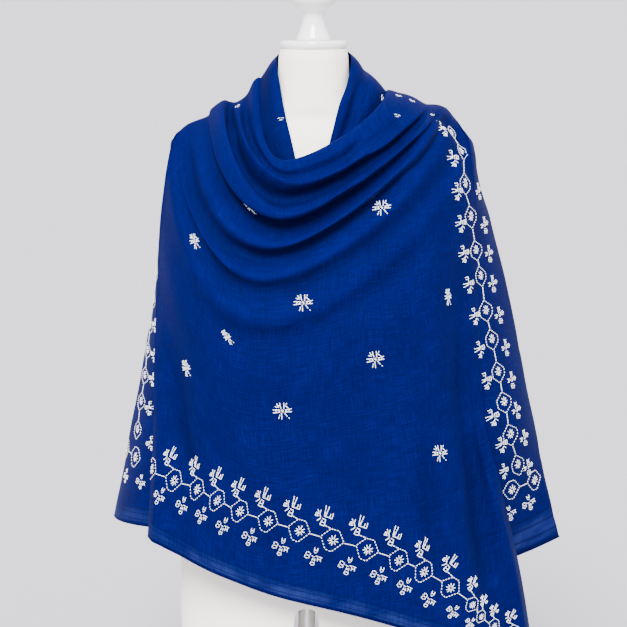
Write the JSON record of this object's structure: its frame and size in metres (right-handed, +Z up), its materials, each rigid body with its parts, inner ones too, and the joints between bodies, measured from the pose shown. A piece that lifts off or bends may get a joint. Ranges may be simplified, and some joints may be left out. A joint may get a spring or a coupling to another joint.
{
  "type": "embroidered shawl on a dress form",
  "caption": "Wide oblong shawl of thin blue cloth with a white stitched border, draped in cowl folds over a limbless dress form that stands on a short pole and round base.",
  "frame": {"origin": "middle of the round base's underside, on the pole's axis", "axes": "+Z up, -Y the front that the viewer sees, +X the viewer's right"},
  "size_m": [0.656, 0.32, 1.2106],
  "materials": {
    "blue_cloth": "thin woven cotton, slight sheen",
    "cream_cover": "smooth matte jersey",
    "white_gloss": "gloss",
    "chrome": "polished"
  },
  "bodies": {
    "root": {"neck_roll": "blue_cloth", "front_fall": "blue_cloth", "left_side": "blue_cloth", "right_end": "blue_cloth", "back_fall": "blue_cloth", "form_torso": "cream_cover", "neck_plate": "white_gloss", "finial": "white_gloss", "pole": "chrome", "base": "chrome"}
  },
  "joints": []
}
